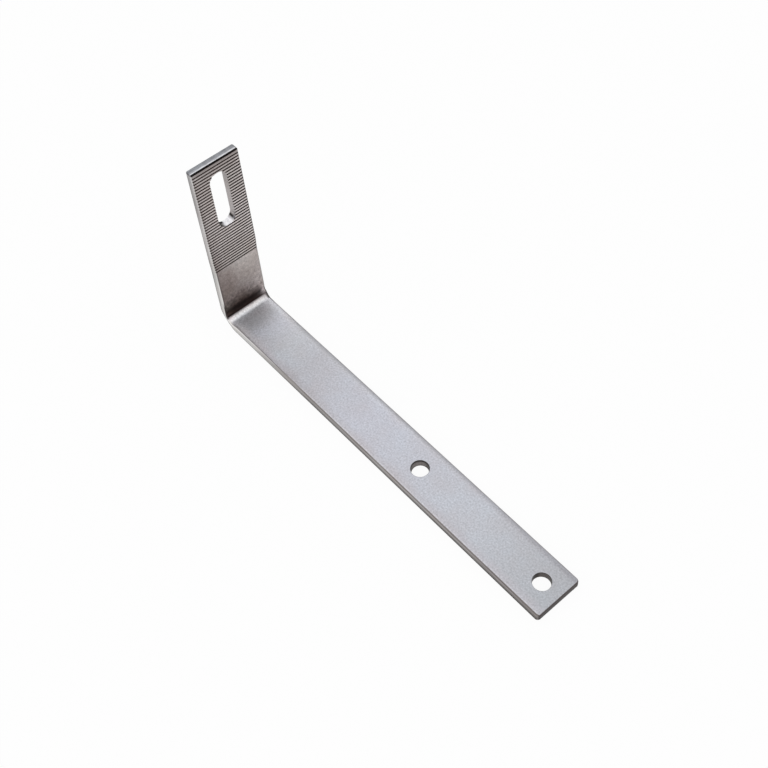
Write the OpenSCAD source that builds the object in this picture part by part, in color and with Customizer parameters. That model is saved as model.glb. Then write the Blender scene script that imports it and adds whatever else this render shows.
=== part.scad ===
// Solar roof hook: one flat stainless bar folded into an L. The base leg lies on
// the rafter or batten and takes two screws. The upstand carries the rail on a
// serrated face, clamped by a bolt through its slot.
//
// Frame: the origin is midway between the two screw holes, on the underside of
// the base leg. +X runs along the base leg to its free end, +Z runs up the upstand.

/* [Flat bar] */
// Width of the bar
bar_w = 30; // [26:1:50]
// Thickness of the bar
bar_t = 5; // [4:0.5:8]
// Radius of the rolled long edges
edge_r = 0.8; // [0.4:0.1:0.9]

/* [Legs] */
// Length of the base leg, from the back of the upstand to the free end
base_l = 260; // [180:5:350]
// Height of the upstand, from the underside of the base leg
upstand_h = 122; // [116:1:180]
// Corner radius of the base leg's free end, seen from above
base_corner_r = 2; // [1.5:0.5:6]
// Corner radius of the upstand's top end, seen from the front
top_corner_r = 1; // [1:0.5:6]

/* [Fold] */
// Inside radius of the fold
fold_r = 4; // [2.5:0.5:8]
// How far the squeezed inside of the fold swells out past each long edge
swell = 0.6; // [0.3:0.1:1]
// How far that swelling reaches round the inside of the fold
swell_reach = 4.5; // [3:0.5:6]
// How far the stretched outside of the fold draws in from each long edge
draw_in = 1.1; // [0.6:0.1:1.5]
// How far that drawing in reaches from its deepest point
draw_reach = 5.5; // [4:0.5:6]
// Distance of that deepest point outside the heel
draw_out = 1.5; // [1:0.5:3]

/* [Screw holes] */
// Diameter of both screw holes
hole_d = 10; // [6:0.5:13]
// Distance from the free end to the middle of the outer hole
hole_end_gap = 12.5; // [10:0.5:30]
// Distance between the middles of the two holes
hole_spacing = 90; // [40:1:130]

/* [Rail slot] */
// Width of the slot
slot_w = 11; // [7:0.5:14]
// Length of the slot, end to end
slot_l = 39; // [20:1:60]
// Material left above the slot, at the top end of the upstand
slot_top_gap = 7.5; // [5:0.5:20]

/* [Serration] */
// Distance from one groove to the next
groove_pitch = 2; // [1.5:0.1:2.5]
// Width of a groove at its mouth
groove_w = 1; // [0.6:0.1:1.4]
// Depth of a groove
groove_depth = 0.5; // [0.2:0.1:1]
// Number of grooves across the face of the upstand
groove_n = 37; // [10:1:40]
// Distance from the top end to the middle of the first groove
groove_top_gap = 2.5; // [2:0.1:6]
// Height of the bevel on the front edge of the top end
bevel_h = 0.6; // [0.2:0.1:1]
// Depth of that bevel, measured into the thickness of the bar
bevel_depth = 1.1; // [0.4:0.1:1.5]

/* [Hidden] */
$fn = 96;

// How far a cutting body runs past the faces that it passes through
past = 1;
// How far the swelling's faces lie under the bar's own faces
under = 0.02;
// Height and inset of the middle of the fold, which both legs run out from
fold_mid = bar_t + fold_r;
// The fold's bisector points from its middle to the heel
heel_way = -sqrt(0.5);
// Middle of the two screw holes, measured from the back of the upstand
holes_mid_x = base_l - hole_end_gap - hole_spacing / 2;
hole_xs = [holes_mid_x - hole_spacing / 2, holes_mid_x + hole_spacing / 2];
// Middle of the slot, and the middles of its two round ends, measured up
slot_mid_z = upstand_h - slot_top_gap - slot_l / 2;
slot_half = (slot_l - slot_w) / 2;
// Balls whose caps make the swelling and the drawing in
swell_ball_r = (pow(swell_reach, 2) + pow(swell, 2)) / (2 * swell);
draw_ball_r = (pow(draw_reach, 2) + pow(draw_in, 2)) / (2 * draw_in);

// A rectangle with its low left corner at the origin and rounded corners on its
// right side only, so that it closes the end of a leg
module end_section(length) {
    square([length - edge_r, bar_t]);
    translate([0, edge_r]) square([length, bar_t - 2 * edge_r]);
    intersection() {
        square([length, bar_t]);
        for (z = [edge_r, bar_t - edge_r])
            translate([length - edge_r, z]) circle(r = edge_r);
    }
}

// The bar's cross section: thickness along X from 0, width along Y about 0
module bar_section() {
    flat_y = bar_w / 2 - edge_r;
    translate([0, -flat_y]) square([bar_t, 2 * flat_y]);
    translate([edge_r, -bar_w / 2]) square([bar_t - 2 * edge_r, bar_w]);
    for (x = [edge_r, bar_t - edge_r], y = [-flat_y, flat_y])
        translate([x, y]) circle(r = edge_r);
}

// A straight leg from the origin along +X, with its cut end's corners rounded
module leg(length, corner_r) {
    straight_l = length - corner_r;
    corner_y = bar_w / 2 - corner_r;
    rotate([0, 90, 0]) mirror([1, 0, 0]) linear_extrude(straight_l) bar_section();
    translate([straight_l, corner_y, 0])
        rotate([90, 0, 0]) linear_extrude(2 * corner_y) end_section(corner_r);
    translate([straight_l, corner_y, 0]) rotate_extrude(angle = 90) end_section(corner_r);
    translate([straight_l, -corner_y, 0])
        rotate([0, 0, -90]) rotate_extrude(angle = 90) end_section(corner_r);
}

// A quarter turn of the bar, joining the two legs
module fold() {
    translate([fold_mid, 0, fold_mid]) rotate([90, 180, 0])
        rotate_extrude(angle = 90) translate([fold_r, 0]) bar_section();
}

// The inside half of the bar round the fold, seen from the side. Its faces lie
// just under the bar's own, so that no two faces coincide.
module inside_of_fold() {
    near = bar_t / 2;
    far = fold_mid + swell_reach;
    face = bar_t - under;
    translate([fold_mid, near]) square([far - fold_mid, face - near]);
    translate([near, fold_mid]) square([face - near, far - fold_mid]);
    intersection() {
        translate([near, near]) square(fold_mid - near);
        translate([fold_mid, fold_mid]) difference() {
            circle(r = fold_r + bar_t / 2);
            circle(r = fold_r + under);
        }
    }
}

// A ball centred on the fold's bisector, at a radius from the fold's middle and
// at a place across the bar
module fold_ball(radius, ball_r, ball_y) {
    ball_xz = fold_mid + heel_way * radius;
    translate([ball_xz, ball_y, ball_xz]) sphere(r = ball_r);
}

// The metal that the fold squeezes out past both long edges on its inside: the
// cap of a ball on each side, cut off where the bar's own faces end
module fold_swelling() {
    cap_y = bar_w / 2 + swell;
    for (side = [-1, 1]) intersection() {
        fold_ball(fold_r, swell_ball_r, side * (cap_y - swell_ball_r));
        translate([0, side * cap_y, 0]) rotate([90, 0, 0])
            linear_extrude(bar_w / 2, center = true) inside_of_fold();
    }
}

// What the fold draws in from both long edges on its outside
module fold_drawing_in() {
    deepest_y = bar_w / 2 - draw_in;
    for (side = [-1, 1])
        fold_ball(fold_mid + draw_out, draw_ball_r, side * (deepest_y + draw_ball_r));
}

// The two screw holes through the base leg
module screw_holes() {
    for (x = hole_xs)
        translate([x, 0, -past]) cylinder(d = hole_d, h = bar_t + 2 * past);
}

// The slot through the upstand
module rail_slot() {
    translate([-past, 0, slot_mid_z]) rotate([0, 90, 0]) {
        for (way = [-1, 1])
            translate([way * slot_half, 0, 0]) cylinder(d = slot_w, h = bar_t + 2 * past);
        translate([-slot_half, -slot_w / 2, 0])
            cube([2 * slot_half, slot_w, bar_t + 2 * past]);
    }
}

// V grooves across the upstand's front face, and the bevel above them
module serration() {
    rotate([90, 0, 0]) linear_extrude(bar_w + 2 * past, center = true) {
        for (i = [0 : groove_n - 1])
            translate([bar_t, upstand_h - groove_top_gap - i * groove_pitch])
                polygon([[-groove_depth, 0],
                         [0, -groove_w / 2], [past, -groove_w / 2],
                         [past, groove_w / 2], [0, groove_w / 2]]);
        translate([bar_t, upstand_h])
            polygon([[-bevel_depth, past], [-bevel_depth, 0], [0, -bevel_h],
                     [past, -bevel_h], [past, past]]);
    }
}

// The whole hook: a single piece of bar
module hook_bar() {
    color([0.75, 0.75, 0.77]) translate([-holes_mid_x, 0, 0]) difference() {
        union() {
            translate([fold_mid, 0, 0]) leg(base_l - fold_mid, base_corner_r);
            translate([bar_t, 0, fold_mid]) rotate([0, -90, 0])
                leg(upstand_h - fold_mid, top_corner_r);
            fold();
            fold_swelling();
        }
        fold_drawing_in();
        screw_holes();
        rail_slot();
        serration();
    }
}

hook_bar();
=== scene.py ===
import math

import bmesh
import bpy
from mathutils import Matrix, Vector


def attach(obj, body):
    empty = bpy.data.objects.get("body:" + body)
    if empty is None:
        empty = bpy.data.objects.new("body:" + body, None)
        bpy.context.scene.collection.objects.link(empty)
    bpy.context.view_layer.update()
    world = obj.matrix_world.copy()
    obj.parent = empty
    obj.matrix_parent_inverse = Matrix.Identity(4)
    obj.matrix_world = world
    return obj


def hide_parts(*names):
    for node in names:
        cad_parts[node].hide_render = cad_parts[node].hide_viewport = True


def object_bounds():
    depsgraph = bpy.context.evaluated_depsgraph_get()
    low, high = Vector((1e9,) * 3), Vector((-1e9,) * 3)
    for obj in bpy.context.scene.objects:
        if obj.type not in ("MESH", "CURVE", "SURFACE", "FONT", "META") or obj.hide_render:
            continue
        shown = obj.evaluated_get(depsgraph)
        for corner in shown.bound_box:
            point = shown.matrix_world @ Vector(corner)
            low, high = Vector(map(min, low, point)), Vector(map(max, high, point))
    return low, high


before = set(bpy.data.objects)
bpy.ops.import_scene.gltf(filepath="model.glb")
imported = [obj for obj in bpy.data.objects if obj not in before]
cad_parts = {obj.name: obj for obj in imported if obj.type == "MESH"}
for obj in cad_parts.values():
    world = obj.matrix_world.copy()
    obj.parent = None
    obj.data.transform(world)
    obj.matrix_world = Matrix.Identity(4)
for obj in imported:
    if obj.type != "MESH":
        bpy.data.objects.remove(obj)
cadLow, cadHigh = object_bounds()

mm = 0.001
onPlane = 0.0001        # millimetres within which a cut takes a point as lying on its plane


def hexToLinear(code):
    # an sRGB hex colour as the linear values that the shaders take, fully opaque
    parts = [int(code[i:i + 2], 16) / 255 for i in (1, 3, 5)]
    return [p / 12.92 if p <= 0.04045 else ((p + 0.055) / 1.055) ** 2.4 for p in parts] + [1.0]


def addNode(tree, kind, settings=None, links=None):
    # one shader node: settings go to its own fields or sockets, links to its inputs
    node = tree.nodes.new(kind)
    for name, value in (settings or {}).items():
        if isinstance(name, str) and hasattr(node, name):
            setattr(node, name, value)
        else:
            node.inputs[name].default_value = value
    for name, source in (links or {}).items():
        tree.links.new(source, node.inputs[name])
    return node


def newMaterial(name):
    material = bpy.data.materials.new(name)
    material.use_nodes = True
    material.node_tree.nodes.clear()
    return material, material.node_tree


def meshObject(name, bm):
    mesh = bpy.data.meshes.new(name)
    bm.to_mesh(mesh)
    bm.free()
    piece = bpy.data.objects.new(name, mesh)
    bpy.context.scene.collection.objects.link(piece)
    return piece


# the hook's own bar, with every length in millimetres
bar = {
    "width": 30.0, "thickness": 5.0,
    "edgeRadius": 0.8, "edgeSteps": 5,                   # rolled long edges
    "baseLength": 259.8, "upstandHeight": 122.0,
    "baseCornerRadius": 2.0, "cornerSteps": 6, "sawnEdge": 0.5,
    "topSlack": 0.01,                                    # keeps the top end inside the CAD's box
    "foldRadius": 4.0, "foldRows": 24,
    "swell": 0.55, "swellReach": 7.0,                    # squeezed out inside the fold
    "drawIn": 1.05, "drawReach": 11.0, "drawOut": 1.5,   # pulled in outside the fold
    "sideRows": 7, "rowStep": 0.8, "rowReach": 12.0,     # rows of edges on its sides and round it
    # each punched hole's middle, then its radius at the underside and on top
    "holes": [(-45.0, 0.0, 4.75, 5.15), (45.0, 0.3, 5.0, 5.0)], "holeRim": 0.3, "holeSteps": 72,
    "slotWidth": 11.0, "slotLength": 39.0, "slotTopGap": 7.5,
    "groovePitch": 2.0, "grooveWidth": 1.0, "grooveDepth": 0.5, "grooveCount": 37,
    "grooveTopGap": 2.5, "bevelHeight": 0.6, "bevelDepth": 1.1,
    "smoothAngle": 32.0, "weldDistance": 0.002,
    # below the grooves the inner face is narrower than the bar: by how much on each side, at
    # distances along that face from the top of the fold
    "leftNarrower": [(-113, 0.0), (-45, 0.0), (-38, 0.28), (-26, 0.2), (-5, 0.18), (0, 0.15),
                     (3, 0.1), (6, 0.25), (10, 0.5), (30, 0.6), (60, 0.45), (110, 0.35),
                     (257, 0.35)],
    "rightNarrower": [(-113, 0.0), (-45, 0.0), (-38, 0.45), (-6, 0.65), (-3, 0.8), (-1, 0.7), (1, 0.15),
                      (3, 0.1), (6, 0.4), (10, 0.35), (60, 0.3), (257, 0.35)],
    # and the outer face by this much on both sides
    "outerNarrower": [(-113, 0.1), (-100, 0.0), (-45, 0.0), (-38, 0.15), (-25, 0.05), (-15, 0.0),
                      (4, 0.0), (10, 0.2), (110, 0.2), (180, 0.1), (257, 0.1)],
    "farRows": [-100, -45, -38, -25, 30, 60, 110, 180],  # rows where those widths turn
}
backX = cadLow.x / mm                           # back of the upstand
foldMid = bar["thickness"] + bar["foldRadius"]
foldLength = (bar["foldRadius"] + bar["thickness"] / 2) * math.pi / 2
slotMid = bar["upstandHeight"] - bar["slotTopGap"] - bar["slotLength"] / 2


def flatBar():
    # the bar before folding: x along it from the fold, y across, z through it
    bm = bmesh.new()
    baseEnd = bar["baseLength"] - foldMid
    topEnd = bar["topSlack"] - foldLength - (bar["upstandHeight"] - foldMid)
    stockEnd = topEnd - 2 * bar["thickness"]    # the stock runs on until its top end is sawn
    corners = [bm.verts.new((x, y, 0)) for x, y in (
        (stockEnd, -bar["width"] / 2), (baseEnd, -bar["width"] / 2),
        (baseEnd, bar["width"] / 2), (stockEnd, bar["width"] / 2))]
    bm.faces.new(corners)
    ends = [v for v in bm.verts if v.co.x > 0]
    bmesh.ops.bevel(bm, geom=ends, offset=bar["baseCornerRadius"], offset_type="OFFSET", affect="VERTICES",
                    segments=bar["cornerSteps"], profile=0.5, material=-1, clamp_overlap=False)
    grown = bmesh.ops.extrude_face_region(bm, geom=bm.faces[:])["geom"]
    bmesh.ops.translate(bm, vec=(0, 0, bar["thickness"]),
                        verts=[g for g in grown if isinstance(g, bmesh.types.BMVert)])
    bmesh.ops.recalc_face_normals(bm, faces=bm.faces[:])
    rims = [e for e in bm.edges if abs(e.verts[0].co.z - e.verts[1].co.z) < 0.01]
    bmesh.ops.bevel(bm, geom=rims, offset=bar["edgeRadius"], offset_type="OFFSET", affect="EDGES",
                    segments=bar["edgeSteps"], profile=0.5, material=-1, clamp_overlap=False)
    bmesh.ops.bisect_plane(bm, geom=bm.verts[:] + bm.edges[:] + bm.faces[:], dist=onPlane,
                           plane_co=(topEnd, 0, 0), plane_no=(-1, 0, 0), clear_outer=True)
    sawn = [e for e in bm.edges if e.is_boundary]
    bmesh.ops.edgeloop_fill(bm, edges=sawn)
    bmesh.ops.recalc_face_normals(bm, faces=bm.faces[:])
    bmesh.ops.bevel(bm, geom=sawn, offset=bar["sawnEdge"], offset_type="OFFSET", affect="EDGES",
                    segments=2, profile=0.5, material=-1, clamp_overlap=False)
    return bm


def cutRows(bm, places, axis):
    # rows of edges straight through the bar, for the fold to bend at
    for place in places:
        point = Vector((0, 0, 0))
        point[axis] = place
        normal = Vector((0, 0, 0))
        normal[axis] = 1
        bmesh.ops.bisect_plane(bm, geom=bm.verts[:] + bm.edges[:] + bm.faces[:], dist=onPlane,
                               plane_co=point, plane_no=normal)


def softCap(distance, reach):
    # 1 in the middle, easing out to nothing at its reach
    return max(0, 1 - (distance / reach) ** 2) ** 2


def between(stops, place):
    # the value at a place among stops of (place, value), along straight lines
    for (low, first), (high, last) in zip(stops, stops[1:]):
        if place <= high:
            return first + (last - first) * max(place - low, 0) / (high - low)
    return stops[-1][1]


def foldPoint(co):
    # bends a point of the flat bar round the fold, and sets how wide the bar is there
    x, y, z = co
    turn = min(max(-x / foldLength, 0), 1) * math.pi / 2
    radius = foldMid - z
    px = backX + foldMid - radius * math.sin(turn) + max(x, 0)
    pz = foldMid - radius * math.cos(turn) + max(-foldLength - x, 0)
    if abs(y) > bar["width"] / 2 - 2 * bar["edgeRadius"]:
        half = math.sqrt(0.5)
        inside = math.hypot(px - backX - foldMid + bar["foldRadius"] * half,
                            pz - foldMid + bar["foldRadius"] * half)
        outside = foldMid + bar["drawOut"]
        outer = math.hypot(px - backX - foldMid + outside * half, pz - foldMid + outside * half)
        bulge = bar["swell"] * softCap(inside, bar["swellReach"])
        bulge -= bar["drawIn"] * softCap(outer, bar["drawReach"])
        place = barPlace(Vector((px, y, pz)))
        narrower = bar["rightNarrower" if y > 0 else "leftNarrower"]
        bulge -= between(narrower, place.x) * max(0, 1 - place.z / bar["thickness"])
        bulge -= between(bar["outerNarrower"], place.x) * max(0, 2 * place.z / bar["thickness"] - 1)
        y += bulge if y > 0 else -bulge
    return Vector((px, y, pz))


def barPlace(co):
    # where a point lies on the bar: how far along its inner face from the top of the fold,
    # how far across, and how deep under that face
    gapX, gapZ = backX + foldMid - co.x, foldMid - co.z
    inX, inZ = max(gapX, 0), max(gapZ, 0)
    along = bar["foldRadius"] * math.atan2(inZ, inX) + min(gapZ, 0) - min(gapX, 0)
    return Vector((along, co.y, math.hypot(inX, inZ) - bar["foldRadius"]))


def prism(bm, outline, spread):
    # a closed cutter: an outline of points carried along a way
    face = bm.faces.new([bm.verts.new(p) for p in outline])
    grown = bmesh.ops.extrude_face_region(bm, geom=[face])["geom"]
    bmesh.ops.translate(bm, vec=spread, verts=[g for g in grown if isinstance(g, bmesh.types.BMVert)])


def serrationCutter():
    # V grooves across the upstand's face, and the bevel over them
    bm = bmesh.new()
    faceX = backX + bar["thickness"]
    side = bar["width"] / 2 + 2
    for i in range(bar["grooveCount"]):
        z = bar["upstandHeight"] - bar["grooveTopGap"] - i * bar["groovePitch"]
        w = bar["grooveWidth"] / 2
        prism(bm, [(faceX - bar["grooveDepth"], -side, z), (faceX, -side, z - w),
                   (faceX + 1, -side, z - w), (faceX + 1, -side, z + w), (faceX, -side, z + w)],
              (0, 2 * side, 0))
    top = bar["upstandHeight"]
    prism(bm, [(faceX - bar["bevelDepth"], -side, top), (faceX, -side, top - bar["bevelHeight"]),
               (faceX + 1, -side, top - bar["bevelHeight"]), (faceX + 1, -side, top + 1),
               (faceX - bar["bevelDepth"], -side, top + 1)], (0, 2 * side, 0))
    bmesh.ops.recalc_face_normals(bm, faces=bm.faces[:])
    return meshObject("serrationCutter", bm)


def holeRadiusAt(hole, z):
    return hole[2] + (hole[3] - hole[2]) * z / bar["thickness"]


def roundCutter():
    # the two screw holes and the rail slot
    bm = bmesh.new()
    for hole in bar["holes"]:
        bmesh.ops.create_cone(bm, cap_ends=True, segments=bar["holeSteps"], radius1=holeRadiusAt(hole, -2),
                              radius2=holeRadiusAt(hole, bar["thickness"] + 2), depth=bar["thickness"] + 4,
                              matrix=Matrix.Translation((hole[0], hole[1], bar["thickness"] / 2)))
    slot = bmesh.ops.create_cone(bm, cap_ends=True, segments=bar["holeSteps"], radius1=bar["slotWidth"] / 2,
                                 radius2=bar["slotWidth"] / 2, depth=bar["thickness"] + 4,
                                 matrix=Matrix.Translation((backX + bar["thickness"] / 2, 0, slotMid))
                                 @ Matrix.Rotation(math.pi / 2, 4, "Y"))["verts"]
    half = (bar["slotLength"] - bar["slotWidth"]) / 2
    for way in (-1, 1):
        bmesh.ops.translate(bm, vec=(0, 0, way * half),
                            verts=[v for v in slot if (v.co.z - slotMid) * way > 0.01])
    bmesh.ops.recalc_face_normals(bm, faces=bm.faces[:])
    return meshObject("roundCutter", bm)


flat = flatBar()
cutRows(flat, [-foldLength * i / bar["foldRows"] for i in range(bar["foldRows"] + 1)], 0)
reachRows = [bar["rowStep"] * (i + 1) for i in range(int(bar["rowReach"] / bar["rowStep"]))]
cutRows(flat, reachRows + [-foldLength - r for r in reachRows], 0)
arcLength = bar["foldRadius"] * math.pi / 2
cutRows(flat, [row - arcLength if row > 0 else row - foldLength for row in bar["farRows"]], 0)
sideStep = (bar["thickness"] - 2 * bar["edgeRadius"]) / bar["sideRows"]
cutRows(flat, [bar["edgeRadius"] + sideStep * i for i in range(1, bar["sideRows"])], 2)
for vert in flat.verts:
    vert.co = foldPoint(vert.co)
rawBar = meshObject("rawBar", flat)
print("bar folded:", len(rawBar.data.vertices), "vertices")

cutters = [serrationCutter(), roundCutter()]
for cutter in cutters:
    cut = rawBar.modifiers.new(cutter.name, "BOOLEAN")
    cut.operation, cut.solver, cut.object = "DIFFERENCE", "EXACT", cutter
cutMesh = bpy.data.meshes.new_from_object(rawBar.evaluated_get(bpy.context.evaluated_depsgraph_get()))
for spent in cutters + [rawBar]:
    bpy.data.objects.remove(spent)
print("bar cut:", len(cutMesh.vertices), "vertices")

bm = bmesh.new()
bm.from_mesh(cutMesh)
bmesh.ops.remove_doubles(bm, verts=bm.verts[:], dist=bar["weldDistance"])


def onHole(co, slack):
    return any(abs(math.hypot(co.x - hole[0], co.y - hole[1]) - holeRadiusAt(hole, co.z)) < slack
               for hole in bar["holes"])


rims = [e for e in bm.edges if e.calc_length() < 1 and all(
    onHole(v.co, 0.02) and min(abs(v.co.z), abs(v.co.z - bar["thickness"])) < 0.01 for v in e.verts)]
bmesh.ops.bevel(bm, geom=rims, offset=bar["holeRim"], offset_type="OFFSET", affect="EDGES",
                segments=3, profile=0.5, material=-1, clamp_overlap=False)


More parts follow.
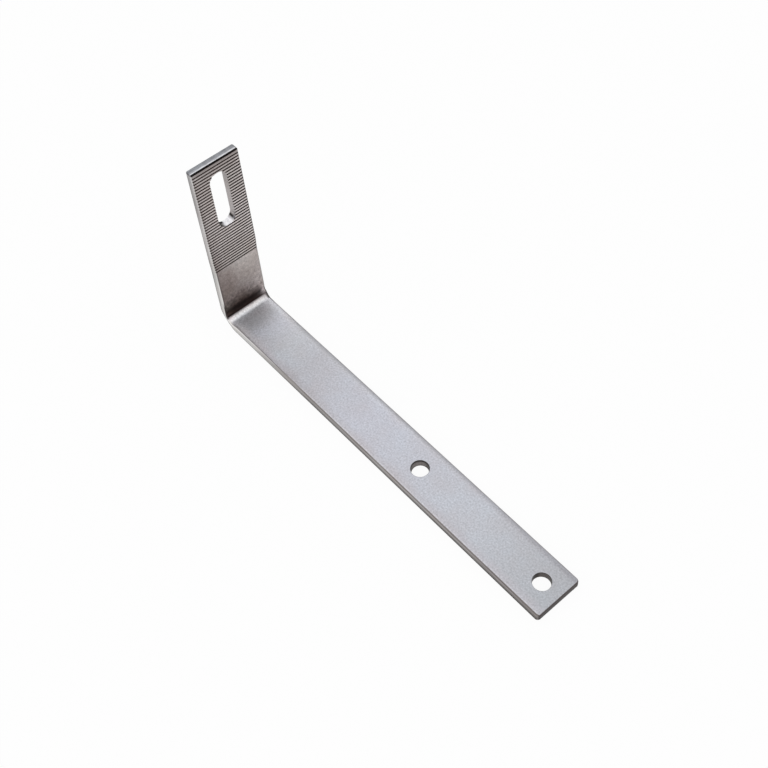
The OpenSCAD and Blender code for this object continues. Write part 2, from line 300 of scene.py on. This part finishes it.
# the bar's seven finishes: each colour runs along the bar (0), across it (1) or down through
# its thickness (2), as stops in millimetres from the top of the fold, the middle and the inner
# face, and a later layer lies over the earlier ones where its own stops of 0 to 1 say. The
# colours hold light and shade as well as the steel's own tone. The satin's first, third and
# fourth runs were fitted with a program's help and are not a maker's choice.
along, across, deep = 0, 1, 2
finishesAndPaintedLight = {
    # blasted flats: a soft satin with a dull grain, warm on the upstand and cool on the base, under painted
    # light and shade
    "satinBlastedStainlessPaintedLight": {
        "roughness": 0.48, "grainMm": (1.0, 1.0, 1.0), "grainSpread": 0.26,
        # uneven in patches, most of all over the fold, and as strong on the outside face there
        "blotchMm": 2.2, "blotches": [(-113, 0.0), (-44, 0.0), (-38, 0.15), (-16, 0.19), (-10, 0.5),
                                      (-2, 0.5), (2, 0.08), (60, 0.05), (200, 0.0)],
        "layers": [
            # painted shade down the upstand into a near-black band in the fold, then a bright painted
            # highlight just past it and greyer painted shade beyond
            (along, [(-113, "#8a8280"), (-110.5, "#b4acaa"), (-100, "#c4bcb9"), (-90, "#c8c0bd"),
                     (-80, "#d2cac8"), (-60, "#d4ccca"), (-50, "#cec6c3"), (-42, "#ccc4c0"),
                     (-38, "#c0b8b4"), (-26, "#ada4a0"), (-16, "#9c928e"), (-12, "#847874"),
                     (-8, "#645954"), (-5.5, "#4a3d39"), (-3.6, "#1a0e0b"), (-2.2, "#1a0e0b"),
                     (0, "#2c201d"), (1.5, "#2a1d1a"), (2.0, "#897c7b"), (2.7, "#d5cfcf"),
                     (3.8, "#f2f1f2"), (5.4, "#e4e5e9"), (6.3, "#dddfe5"), (9, "#c7c6cb"),
                     (14, "#bebfc4"), (24, "#cecfd7"), (40, "#c9cbd1"), (60, "#c0c0c6"),
                     (110, "#c6c7d0"), (200, "#c2c4cb"), (253, "#b5b7bc")], []),
            # painted light: lighter towards the right side above the fold
            (along, [(-40, "#b8b0ad"), (-8, "#aca2a0")],
             [(across, [(0, 0), (3, 0.27), (6, 0.44), (8, 0.62), (9, 0.77), (10.5, 1)]),
              (along, [(-26, 0), (-14, 1), (-11, 1), (-8, 0.6), (-6, 0.35), (-4, 0.12), (-3, 0)])]),
            # down the right side, with painted shade in the fold and a painted highlight just past it
            (along, [(-113, "#9a9290"), (-108, "#cac2c0"), (-80, "#cec6c4"), (-60, "#dad2d0"),
                     (-42, "#d4ccc9"), (-38, "#bab2af"), (-8, "#aaa09e"), (-2, "#b9afb0"),
                     (-0.6, "#d2c9c8"), (0.6, "#7a7070"), (1.6, "#5a5050"), (2.4, "#aca6a6"),
                     (3.6, "#dad5d7"), (5, "#e5e3e6"), (7, "#d7d7dc"), (12, "#d6d5da"), (20, "#dbdadf"),
                     (40, "#d0d0d5"), (60, "#c7c5c9"), (110, "#d6d6dd"), (200, "#c2c1c7"),
                     (253, "#aaa9ae")],
             [(across, [(5, 0), (8, 0.03), (9, 0.07), (10, 0.13), (11, 0.3), (12, 0.78), (12.5, 1)])]),
            # down the left side, with near-black painted shade in the fold and a painted highlight just
            # past it
            (along, [(-113, "#8a8280"), (-110.5, "#bcb4b2"), (-66, "#d0c8c6"), (-50, "#c6bcb9"),
                     (-43, "#bab0ac"), (-38, "#a69a95"), (-22, "#958984"), (-12, "#8a7e7a"),
                     (-6, "#5c544f"), (-3, "#2e231f"), (0, "#42342f"), (1.5, "#120a09"),
                     (2.0, "#655a5a"), (2.5, "#d0c5c6"), (3.2, "#f8f0f1"), (4.3, "#fbf9fb"),
                     (5.4, "#efeef3"), (6.3, "#e2e1e8"), (9, "#e2e2e7"), (15, "#e0dee2"),
                     (22, "#d3d1d6"), (40, "#c7c4ca"), (60, "#b9b7bc"), (110, "#c2c0c6"),
                     (253, "#bebdc3")],
             [(across, [(-12.5, 1), (-8.5, 0)])]),
            # painted shade: a darker left half above the fold
            (along, [(-33, "#9e928d"), (-22, "#928681"), (-14, "#867a73")],
             [(across, [(-7, 0.9), (-1, 0)]), (along, [(-40, 0), (-33, 1), (-18, 1), (-12, 0)])]),
            # painted shade: a darker strip down its left rim
            (along, [(-113, "#b4acaa"), (-60, "#b0a8a6"), (-45, "#a8a09c"), (-38, "#8c827e"),
                     (-24, "#7c726e"), (-12, "#6c625e"), (-8, "#50463f")],
             [(across, [(-14.2, 1), (-13.2, 0)]), (along, [(-8, 1), (-6, 0)])]),
            # painted shade: a greyer line beside the left rim
            (along, [(8, "#c2c0c4"), (30, "#bcbabf"), (60, "#b4b2b7")],
             [(across, [(-13.4, 1), (-12.6, 0)]), (along, [(7, 0), (10, 1), (45, 1), (65, 0)])]),
            # painted shade: darker towards its right edge
            (along, [(12, "#aeaeb2"), (200, "#acacb2"), (257, "#a2a3a9")],
             [(across, [(10.6, 0), (11.7, 0.16), (12.7, 0.56), (13.6, 1)]),
              (along, [(12, 0), (40, 1)])]),
            # painted highlight: a thin bright rim on the left
            (along, [(6, "#dcdade"), (90, "#e6e4e8"), (257, "#dcdce2")],
             [(across, [(-14.6, 1), (-14.1, 0.6), (-12.9, 0)]), (along, [(30, 0), (90, 1)])]),
            # painted shade: darker side of the swelling
            (along, [(0.5, "#6a6261"), (5.5, "#5c5858")],
             [(across, [(12.8, 0), (13.8, 1)]), (along, [(1.4, 0), (2, 1), (4.8, 1), (6, 0)])]),
            # the back and the underside: an even tone, apart from the patches above
            (along, [(-113, "#b9b9bd"), (0, "#bbbbbe"), (3.1, "#c4c4c6"), (6.3, "#bbbbbe"),
                     (257, "#b6b7bc")],
             [(deep, [(2, 0), (3, 1)])]),
        ]},
    # rolled long edges: streaked along, with painted shade making the base leg's sides darker than the
    # upstand's and darker lines at the rims
    "rolledEdgeStainlessPaintedShade": {
        "roughness": 0.4, "grainMm": (20.0, 1.0, 0.8), "grainSpread": 0.22,
        "layers": [
            (along, [(-113, "#c5c2c1"), (-86, "#c7c3c2"), (-66, "#d1cdcc"), (-33, "#d1cfcc"),
                     (-23, "#d9d7d5"), (-12, "#e6e3e1"), (8, "#dfdcda"), (16, "#dad8d6"),
                     (29, "#cdc9c7"), (52, "#aba7a5"), (82, "#9e9a99"), (122, "#aaa6a5"),
                     (187, "#a8a3a1"), (234, "#959090"), (257, "#8e8886")], []),
            # painted shade: darker in the back half of the sides
            (along, [(-113, "#a8a5a4"), (-86, "#a9a5a4"), (-71, "#c0bbba"), (-51, "#bcb8b7"),
                     (-33, "#b3b1af"), (-23, "#c4c2c0"), (8, "#c9c6c4"), (16, "#c8c6c4"),
                     (29, "#c0bdbb"), (52, "#a29e9c"), (82, "#7e7b7a"), (122, "#827e7d"),
                     (187, "#797573"), (234, "#6e6a68"), (257, "#686462")],
             [(deep, [(1.2, 0), (2.4, 1)])]),
            # painted shade: a fine dark line at its front rim
            (along, [(-113, "#8c8683"), (-43, "#8c8683"), (-40, "#76706e"), (-14, "#5c5452"),
                     (-4, "#302a28"), (3, "#5c5452"), (7, "#8a8688"), (60, "#868284")],
             [(deep, [(0, 1), (0.08, 1), (0.22, 0)]),
              (along, [(2, 1), (2.8, 0), (5, 0), (8, 1), (45, 1), (75, 0)])]),
            # painted shade, wider beside the fold
            (along, [(-14, "#6c6462"), (-4, "#302a28"), (3, "#5c5452")],
             [(deep, [(0, 1), (0.4, 1), (0.9, 0)]), (along, [(-12, 0), (-7, 1), (2, 1), (2.8, 0)])]),
            # painted shade: a dark line towards the end
            (along, [(40, "#85807e"), (82, "#7a7573"), (200, "#767070"), (257, "#686260")],
             [(deep, [(0, 0.3), (0.1, 0.9), (0.3, 1), (0.55, 0)]), (along, [(45, 0), (75, 1)])]),
            # painted shade: dark again at its outer rim, darkest towards the base leg's end
            (along, [(-113, "#787673"), (12, "#6e6c6a"), (60, "#4e4b49")],
             [(deep, [(3.5, 0), (4.2, 1)])]),
            (along, [(60, "#4e4b49"), (160, "#3a3736"), (257, "#2a2726")],
             [(deep, [(3.1, 0), (3.9, 1)]), (along, [(30, 0), (70, 1)])]),
            # painted shade: a dark line at the sawn end
            (along, [(-113, "#4c4846"), (-112.2, "#5c5856")],
             [(along, [(-112.6, 1), (-112.0, 0)])]),
            # painted shade: the right side's front half darkens round the fold
            (along, [(-113, "#b0aaa8"), (-8, "#98928f"), (-2, "#5c5856"), (1, "#3c3836"),
                     (6, "#464242"), (10, "#9a989a"), (257, "#9c9a9e")],
             [(across, [(-1, 0), (1, 1)]), (deep, [(1.2, 1), (2, 0)])]),
        ]},
    # saw-cut top end: cool and lighter, with a painted highlight along its front rim and painted shade
    # towards the back
    "sawnTopStainlessPaintedLight": {
        "roughness": 0.4, "grainMm": (1.0, 5.0, 0.5), "grainSpread": 0.38,
        # uneven in patches
        "blotchMm": 3.5, "blotches": [(-113, 0.12), (-112, 0.12)],
        "layers": [
            (deep, [(1.0, "#e0e0e4"), (1.6, "#d0d1d5"), (2.0, "#b4b5b9"), (2.4, "#96979c"),
                    (3.2, "#949599"), (3.8, "#888a8f"), (4.2, "#94969a"), (4.7, "#6c6d70"),
                    (5, "#48484c")], []),
            # painted shade: dark at its two corners
            (deep, [(0, "#98989c"), (2, "#6c6c70"), (5, "#38383c")],
             [(across, [(-15, 1), (-14.2, 0), (14, 0), (14.8, 1)])]),
        ]},
    # sheared free end: painted shade makes it dark, and darker below
    "shearedEndStainlessPaintedShade": {
        "roughness": 0.42, "grainMm": (1.0, 0.6, 2.5), "grainSpread": 0.24,
        "layers": [
            (deep, [(0, "#625c5b"), (0.5, "#504a49"), (1, "#4c4645"), (2.6, "#4e4847"),
                    (4.0, "#363130"), (5, "#14110f")], []),
            # painted highlight: lighter at its left corner
            (deep, [(0, "#8c8785"), (4, "#8c8785"), (5, "#4c4846")],
             [(across, [(-14.6, 1), (-13.8, 0)])]),
        ]},
    # pressed V grooves: painted shade makes them dark, and the bevel over them black
    "pressedGrooveStainlessPaintedShade": {
        "roughness": 0.4, "grainMm": (1.0, 5.0, 1.0), "grainSpread": 0.12,
        "layers": [
            (along, [(-113, "#161212"), (-112.3, "#1a1615"), (-112.0, "#3c3431"), (-60, "#382f2c"),
                     (-52, "#2a2320"), (-45, "#2e2623"), (-40, "#362e2b")], []),
            # painted shade: darker towards the right side
            (along, [(-112.3, "#1a1615"), (-112.0, "#2e2825"), (-90, "#2a2421"), (-78, "#1a1412"),
                     (-50, "#1e1816"), (-40, "#292320")],
             [(across, [(0, 0), (8, 1)])]),
        ]},
    # punched hole walls: painted shade, a dark band at the top and greyer below
    "punchedHoleStainlessPaintedShade": {
        "roughness": 0.38, "grainMm": (0.6, 0.6, 4.0), "grainSpread": 0.16,
        "layers": [
            (deep, [(0, "#7c7877"), (0.15, "#332f2d"), (1.0, "#3c3735"), (2.0, "#7c7675"),
                    (3.8, "#7a7473"), (5, "#4c4847")], []),
            # painted shade: the outer hole's walls are darker
            (deep, [(0, "#7c7877"), (0.15, "#443f3d"), (1.2, "#5c5755"), (5, "#5c5755")],
             [(along, [(200, 0), (201, 1)])]),
            # painted shade: near black on the holes' left walls
            (deep, [(0, "#8a8888"), (0.2, "#1c1817"), (5, "#141110")],
             [(across, [(-3.4, 1), (-0.6, 0)])]),
            # painted shade: the outer hole's walls dark except on the right
            (deep, [(0, "#7c7877"), (0.15, "#2c2826"), (5, "#26221f")],
             [(along, [(200, 0), (201, 1)]), (across, [(1.8, 1), (3.6, 0)])]),
            # painted shade: both holes' far ends dark
            (deep, [(0, "#7c7877"), (0.15, "#141110"), (5, "#2c2827")],
             [(along, [(153, 0), (157, 1), (235, 1), (236, 0), (245, 0), (248, 1)])]),
        ]},
    # punched slot walls: grey, and round the lower end painted shade on the left, a painted highlight in
    # the middle and painted shade again just short of the right
    "punchedSlotStainlessPaintedLight": {
        "roughness": 0.34, "grainMm": (0.8, 0.8, 4.0), "grainSpread": 0.12,
        # uneven in patches, most of all round the lower end
        "blotchMm": 1.5, "blotches": [(-113, 0.09), (-74, 0.07), (-72, 0.14), (-66, 0.14)],
        "layers": [
            (along, [(-113, "#aaa3a1"), (-94, "#aaa4a2"), (-86, "#b8b2b1"), (-66, "#b2acab")], []),
            (across, [(-5.5, "#2c2827"), (-3.4, "#3c3736"), (-2.4, "#8a8788"), (-1.4, "#dcdce0"),
                      (-0.6, "#f4f4f8"), (2.8, "#f2f2f6"), (3.7, "#c8c6c8"), (4.3, "#2c2827"),
                      (4.7, "#2c2827"), (5.2, "#b0aaa9")],
             [(along, [(-73, 0), (-71, 1)])]),
            # the painted shade on the right turns greyer towards the front
            (across, [(3.6, "#d2d2d8"), (4.3, "#8e8c90"), (5.2, "#8a8688")],
             [(along, [(-73, 0), (-71, 1)]), (across, [(3.5, 0), (4, 1)]),
              (deep, [(0.4, 0.85), (2.2, 0)])]),
            # painted shade: black at the back of the lower end, on the left
            (across, [(-5.5, "#0a0808"), (-1, "#0e0c0c")],
             [(along, [(-73, 0), (-72, 1)]), (across, [(-1.6, 1), (-0.8, 0)]),
              (deep, [(2.8, 0), (3.6, 1)])]),
        ]},
}


# how far a face's normal leans along an axis, from 0 to 1, and millimetres to look within
lean = {"edge": 0.1, "slight": 0.2, "some": 0.3, "full": 0.95}
near = {"slotWall": 0.01, "slotEnd": 0.1, "sawnRim": 0.05, "holeWall": 0.2, "groove": 1.2, "side": 1.2}


def finishAndPaintedLightOf(face):
    # the flats are blasted; the rest was rolled, sawn, sheared, pressed or punched, and each gets its own
    # colours, painted light and shade among them
    middle, n = face.calc_center_median(), face.normal
    place = barPlace(middle)
    topGap = place.x + bar["upstandHeight"] - foldMid
    endGap = bar["baseLength"] - foldMid + arcLength - place.x
    if place.x < 0:
        inSlot = abs(place.y) < bar["slotWidth"] / 2 + near["slotWall"]
        if inSlot and abs(n.x) < lean["slight"] and topGap > bar["slotTopGap"] - near["slotEnd"]:
            return "punchedSlotStainlessPaintedLight"
        if topGap < bar["sawnEdge"] + near["sawnRim"] and n.z > lean["some"] and n.x < lean["some"]:
            return "sawnTopStainlessPaintedLight"
        slanted = lean["some"] < abs(n.z) < lean["full"]
        if place.z < near["groove"] and abs(n.y) < lean["slight"] and slanted:
            return "pressedGrooveStainlessPaintedShade"
    if place.x > 0 and onHole(middle, near["holeWall"]) and abs(n.z) < lean["full"]:
        return "punchedHoleStainlessPaintedShade"
    if endGap < bar["edgeRadius"] and n.x > lean["slight"]:
        return "shearedEndStainlessPaintedShade"
    sideStart = bar["width"] / 2 - bar["edgeRadius"] - near["side"]
    if abs(place.y) > sideStart and abs(n.y) > lean["edge"]:
        return "rolledEdgeStainlessPaintedShade"
    return "satinBlastedStainlessPaintedLight"


for face in bm.faces:
    face.material_index = list(finishesAndPaintedLight).index(finishAndPaintedLightOf(face))
    face.smooth = True
for edge in bm.edges:
    edge.smooth = len(edge.link_faces) == 2 and edge.calc_face_angle() < math.radians(bar["smoothAngle"])
places = [barPlace(vert.co) for vert in bm.verts]
bmesh.ops.scale(bm, vec=(mm, mm, mm), verts=bm.verts[:])
hookBar = meshObject("hookBar", bm)
spots = hookBar.data.attributes.new("barPlace", "FLOAT_VECTOR", "POINT")
for spot, place in zip(spots.data, places):
    spot.vector = place
weigh = hookBar.modifiers.new("faceWeights", "WEIGHTED_NORMAL")
weigh.keep_sharp = True
bpy.data.meshes.remove(cutMesh)
print("bar finished:", len(hookBar.data.vertices), "vertices")


def runOver(tree, distance, stops):
    # colours, or shares from 0 to 1, that run between stops at distances in millimetres
    first, last = stops[0][0], stops[-1][0]
    share = addNode(tree, "ShaderNodeMapRange", {1: first, 2: last}, {0: distance}).outputs[0]
    ramp = addNode(tree, "ShaderNodeValToRGB", links={0: share})
    elements = ramp.color_ramp.elements
    while len(elements) < len(stops):
        elements.new(0.5)
    for element, (place, value) in zip(elements, stops):
        element.position = (place - first) / (last - first)
    for element, (place, value) in zip(elements, stops):
        element.color = hexToLinear(value) if isinstance(value, str) else (value, value, value, 1)
    return ramp.outputs[0]


steel = {
    "metallic": 0.75, "specularLevel": 0.25, "specularTint": "#cccccc",
    "cloudMm": 16, "cloudLow": (0.985, 0.965, 0.955), "cloudHigh": (1.015, 1.035, 1.045),
    "roughnessSwing": 0.04, "bumpStrength": 0.3, "bumpMetres": 0.00005,
}
noiseLow, noiseHigh = 0.3, 0.7                  # where most of a noise's values lie
grainLow, grainHigh = 0.25, 0.75


def satinSteel(name, recipe):
    # stainless in one finish, in millimetres on the bar itself: its colour runs, which hold painted light
    # and shade, a fine grain, patches where the recipe has them, and a slow drift from warmer to cooler
    material, tree = newMaterial(name)
    place = addNode(tree, "ShaderNodeAttribute", {"attribute_name": "barPlace"}).outputs["Vector"]
    ways = addNode(tree, "ShaderNodeSeparateXYZ", links={0: place}).outputs
    grained = addNode(tree, "ShaderNodeVectorMath", {"operation": "DIVIDE", 1: recipe["grainMm"]},
                      {0: place}).outputs[0]
    grain = addNode(tree, "ShaderNodeTexNoise", {"Scale": 1.0, "Detail": 3.0, "Roughness": 0.65},
                    {"Vector": grained}).outputs[0]
    cloud = addNode(tree, "ShaderNodeTexNoise",
                    {"Scale": 1 / steel["cloudMm"], "Detail": 3.0, "Roughness": 0.5},
                    {"Vector": place}).outputs[0]
    cloud = addNode(tree, "ShaderNodeMapRange", {1: noiseLow, 2: noiseHigh}, {0: cloud}).outputs[0]
    colour = None
    for way, stops, limits in recipe["layers"]:
        laid = runOver(tree, ways[way], stops)
        if colour is None:
            colour = laid
            continue
        share = None
        for limitWay, limitStops in limits:
            limit = runOver(tree, ways[limitWay], limitStops)
            if share is not None:
                limit = addNode(tree, "ShaderNodeMath", {"operation": "MULTIPLY"},
                                {0: share, 1: limit}).outputs[0]
            share = limit
        colour = addNode(tree, "ShaderNodeMix", {"data_type": "RGBA"},
                         {0: share, 6: colour, 7: laid}).outputs[2]
    spread, rough = recipe["grainSpread"], recipe["roughness"]
    shade = addNode(tree, "ShaderNodeMapRange",
                    {1: grainLow, 2: grainHigh, 3: 1 - spread, 4: 1 + spread}, {0: grain}).outputs[0]
    if "blotches" in recipe:
        blotch = addNode(tree, "ShaderNodeTexNoise",
                         {"Scale": 1 / recipe["blotchMm"], "Detail": 2.0, "Roughness": 0.6},
                         {"Vector": place}).outputs[0]
        blotch = addNode(tree, "ShaderNodeMapRange", {1: noiseLow, 2: noiseHigh, 3: -1, 4: 1},
                         {0: blotch}).outputs[0]
        swing = addNode(tree, "ShaderNodeMath", {"operation": "MULTIPLY_ADD", 2: 1.0},
                        {0: blotch, 1: runOver(tree, ways[along], recipe["blotches"])}).outputs[0]
        shade = addNode(tree, "ShaderNodeMath", {"operation": "MULTIPLY"},
                        {0: shade, 1: swing}).outputs[0]
    drift = addNode(tree, "ShaderNodeMix",
                    {"data_type": "VECTOR", 4: steel["cloudLow"], 5: steel["cloudHigh"]},
                    {0: cloud}).outputs[1]
    shaded = addNode(tree, "ShaderNodeVectorMath", {"operation": "SCALE"},
                     {0: colour, 3: shade}).outputs[0]
    dyed = addNode(tree, "ShaderNodeVectorMath", {"operation": "MULTIPLY"},
                   {0: shaded, 1: drift}).outputs[0]
    dull = addNode(tree, "ShaderNodeMapRange",
                   {1: noiseLow, 2: noiseHigh, 3: rough - steel["roughnessSwing"],
                    4: rough + steel["roughnessSwing"]}, {0: grain}).outputs[0]
    bump = addNode(tree, "ShaderNodeBump",
                   {"Strength": steel["bumpStrength"], "Distance": steel["bumpMetres"]},
                   {"Height": grain}).outputs[0]
    shader = addNode(tree, "ShaderNodeBsdfPrincipled",
                     {"Metallic": steel["metallic"], "Specular IOR Level": steel["specularLevel"],
                      "Specular Tint": hexToLinear(steel["specularTint"])},
                     {"Base Color": dyed, "Roughness": dull, "Normal": bump})
    addNode(tree, "ShaderNodeOutputMaterial", links={"Surface": shader.outputs[0]})
    return material


for recipeName, recipe in finishesAndPaintedLight.items():
    hookBar.data.materials.append(satinSteel(recipeName, recipe))
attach(hookBar, "root")
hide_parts("hook_bar")
print("steel finished")


studio = {
    "floorSize": 6.0, "floorDrop": 0.0002, "floorColour": "#f2f2f2", "floorWhite": 0.95,
    "skyShare": 0.8,                            # what the white room gives to dull surfaces
    "softboxes": [                              # direction from the hook, distance, size and watts
        {"name": "keySoftbox", "way": (0.2, -0.75, 0.63), "distance": 2.0, "size": 2.4, "power": 7.9},
        {"name": "topSoftbox", "way": (-0.434, 0.328, 0.839), "distance": 1.2, "size": 0.5,
         "power": 0.12},
    ],
}


def seenWhite(tree):
    # 1 for what looks straight at the room, or sees it in metal or through glass
    rays = addNode(tree, "ShaderNodeLightPath").outputs
    seen = rays["Is Camera Ray"]
    for other in ("Is Glossy Ray", "Is Transmission Ray"):
        seen = addNode(tree, "ShaderNodeMath", {"operation": "MAXIMUM"},
                       {0: seen, 1: rays[other]}).outputs[0]
    return seen


def paleFloor():
    # plain pale floor: white paper for what looks at it, over a soft shadow
    bm = bmesh.new()
    bmesh.ops.create_grid(bm, x_segments=1, y_segments=1, size=studio["floorSize"] / 2)
    floor = meshObject("floor", bm)
    floor.data.transform(Matrix.Translation((0, 0, -studio["floorDrop"])))
    material, tree = newMaterial("paleFloor")
    lift = addNode(tree, "ShaderNodeMath", {"operation": "MULTIPLY", 1: studio["floorWhite"]},
                   {0: seenWhite(tree)}).outputs[0]
    paper = addNode(tree, "ShaderNodeBsdfDiffuse", {"Color": hexToLinear(studio["floorColour"])})
    white = addNode(tree, "ShaderNodeEmission", {"Strength": 1.0})
    both = addNode(tree, "ShaderNodeMixShader", links={0: lift, 1: paper.outputs[0], 2: white.outputs[0]})
    addNode(tree, "ShaderNodeOutputMaterial", links={"Surface": both.outputs[0]})
    floor.data.materials.append(material)


def whiteRoom():
    # an even white room that gives a little less to dull surfaces, so that the lamps shape them
    world = bpy.data.worlds.new("whiteRoom")
    bpy.context.scene.world = world
    world.use_nodes = True
    tree = world.node_tree
    tree.nodes.clear()
    strength = addNode(tree, "ShaderNodeMapRange", {3: studio["skyShare"], 4: 1.0},
                       {0: seenWhite(tree)}).outputs[0]
    sky = addNode(tree, "ShaderNodeBackground", links={"Strength": strength})
    sky.inputs["Color"].default_value = (1, 1, 1, 1)
    addNode(tree, "ShaderNodeOutputWorld", links={"Surface": sky.outputs[0]})


def hangSoftbox(box):
    # a square soft lamp that looks at the middle of the base leg
    lamp = bpy.data.lights.new(box["name"], "AREA")
    lamp.shape, lamp.size, lamp.energy = "SQUARE", box["size"], box["power"]
    hung = bpy.data.objects.new(box["name"], lamp)
    bpy.context.scene.collection.objects.link(hung)
    way = Vector(box["way"]).normalized()
    hung.location = Vector(((cadLow.x + cadHigh.x) / 2, 0, 0)) + way * box["distance"]
    hung.rotation_euler = way.to_track_quat("Z", "Y").to_euler()


paleFloor()
whiteRoom()
for box in studio["softboxes"]:
    hangSoftbox(box)

# millimetres and degrees, then the nearest and farthest metres that the camera sees
camera = {"place": (205.76, -208.28, 537.7), "turn": (35.604, 2.903, 48.917), "lens": 54.78,
          "sensor": 36, "nearest": 0.01, "farthest": 20}
eye = bpy.data.objects.new("camera", bpy.data.cameras.new("camera"))
bpy.context.scene.collection.objects.link(eye)
eye.location = [c * mm for c in camera["place"]]
eye.rotation_euler = [math.radians(a) for a in camera["turn"]]
eye.data.lens, eye.data.sensor_width = camera["lens"], camera["sensor"]
eye.data.clip_start, eye.data.clip_end = camera["nearest"], camera["farthest"]
bpy.context.scene.camera = eye
bpy.context.scene.view_settings.view_transform = "Standard"
